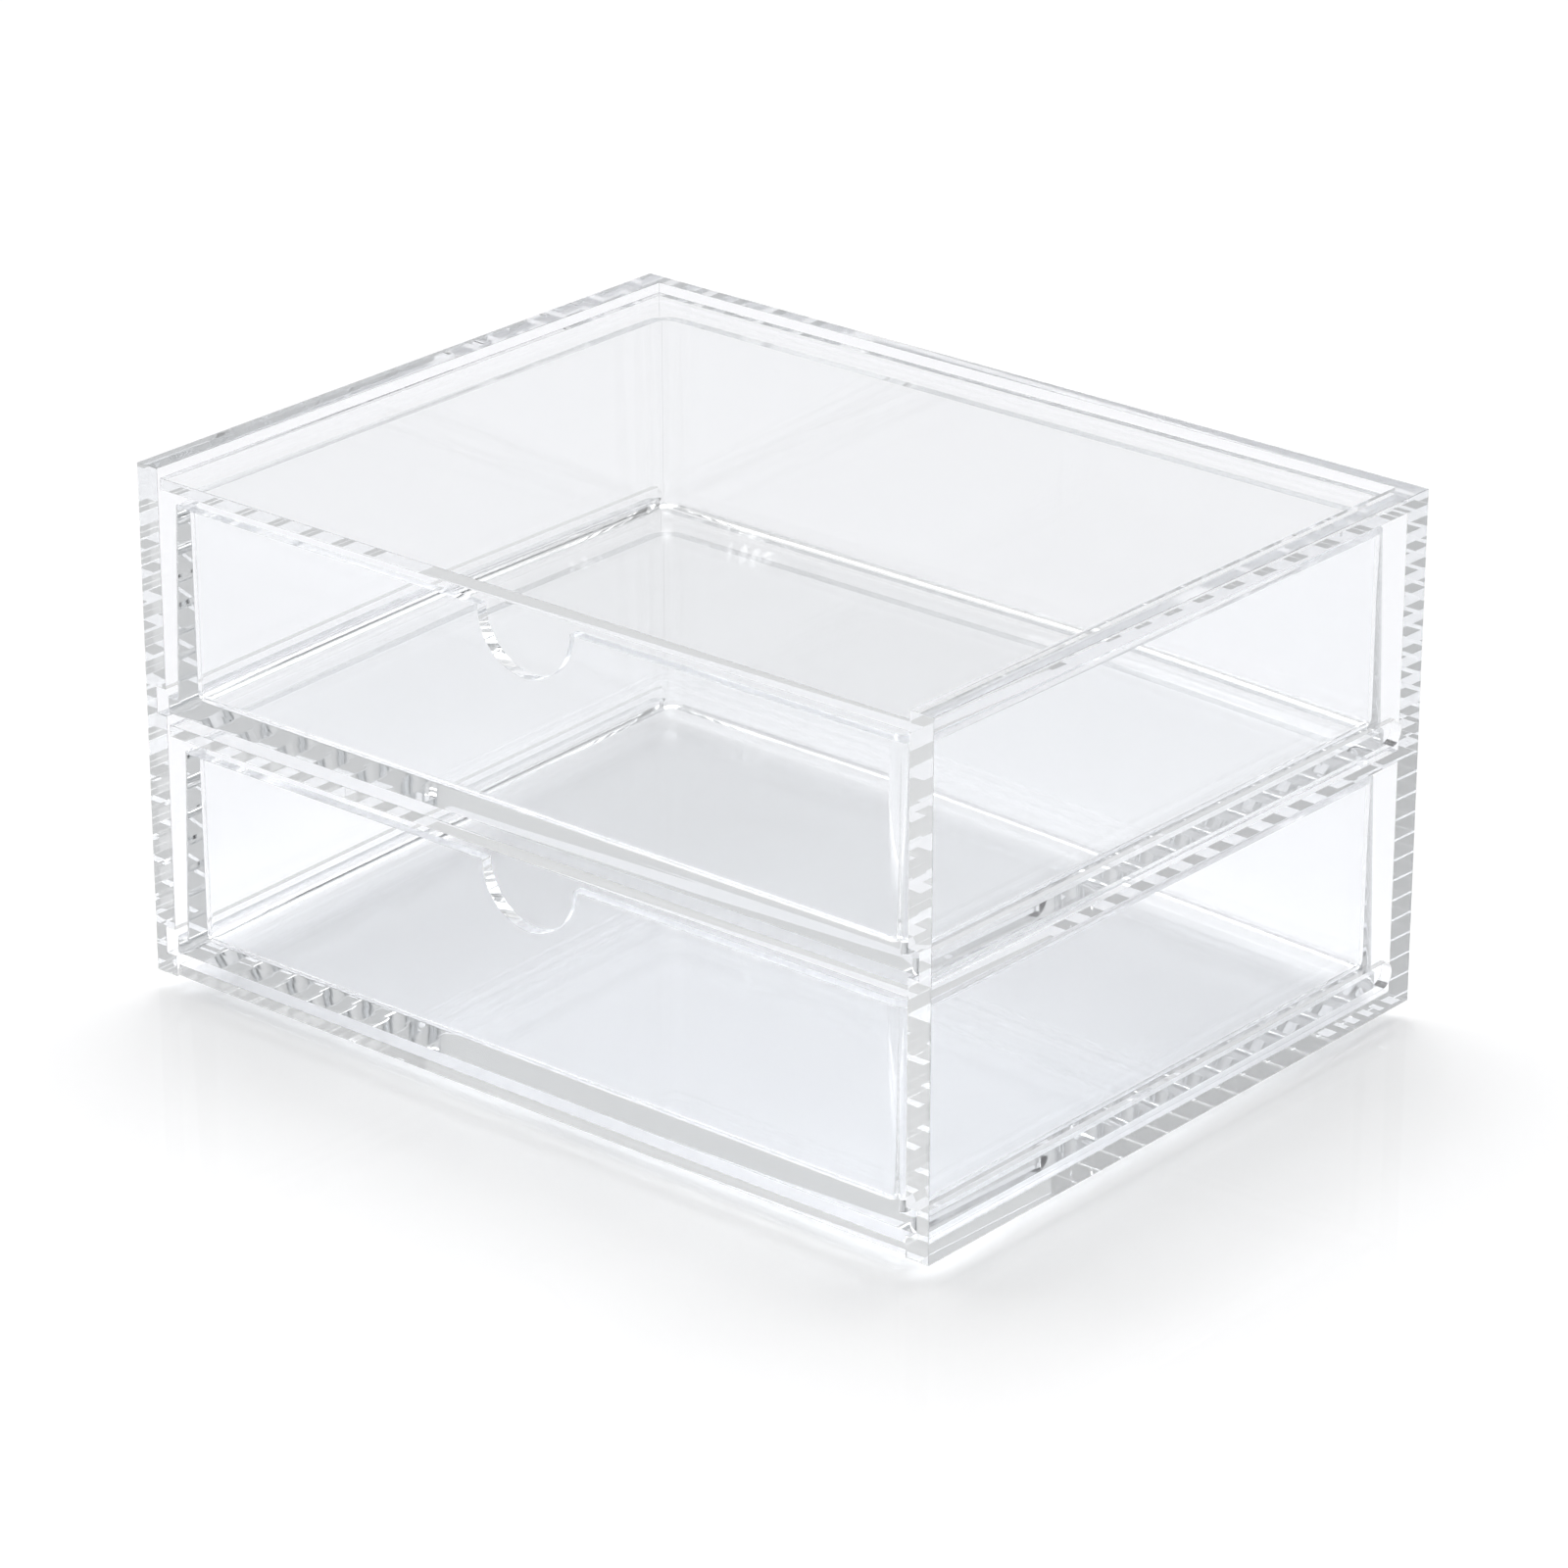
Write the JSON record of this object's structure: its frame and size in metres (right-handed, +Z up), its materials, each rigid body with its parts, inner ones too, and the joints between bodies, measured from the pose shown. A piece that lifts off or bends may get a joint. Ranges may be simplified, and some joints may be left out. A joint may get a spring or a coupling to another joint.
{
  "type": "desk drawer case",
  "caption": "Small clear desk case of cemented acrylic sheet with stacked pull-out tray drawers, each with a half-round finger notch and flanges running in grooves of the side panels",
  "frame": {"origin": "centre of the footprint, on the surface that the case stands on", "axes": "X runs across the width from the left side panel to the right one; Y runs from the open front to the back panel, so the drawers pull out along -Y; Z points up"},
  "size_m": [0.175, 0.132, 0.095],
  "materials": {
    "case_acrylic": "clear, polished sheet",
    "drawer_acrylic": "clear, moulded"
  },
  "bodies": {
    "case": {"left_side_panel": "case_acrylic", "right_side_panel": "case_acrylic", "back_panel": "case_acrylic", "bottom_plate": "case_acrylic", "middle_shelf": "case_acrylic", "top_plate": "case_acrylic"},
    "lower_drawer": {"lower_drawer": "drawer_acrylic"},
    "upper_drawer": {"upper_drawer": "drawer_acrylic"}
  },
  "joints": [
    {"name": "lower_drawer_slide", "type": "slide", "parent": "case", "child": "lower_drawer", "axis": [0, -1, 0], "range_m": [0, 0.105]},
    {"name": "upper_drawer_slide", "type": "slide", "parent": "case", "child": "upper_drawer", "axis": [0, -1, 0], "range_m": [0, 0.105]}
  ]
}
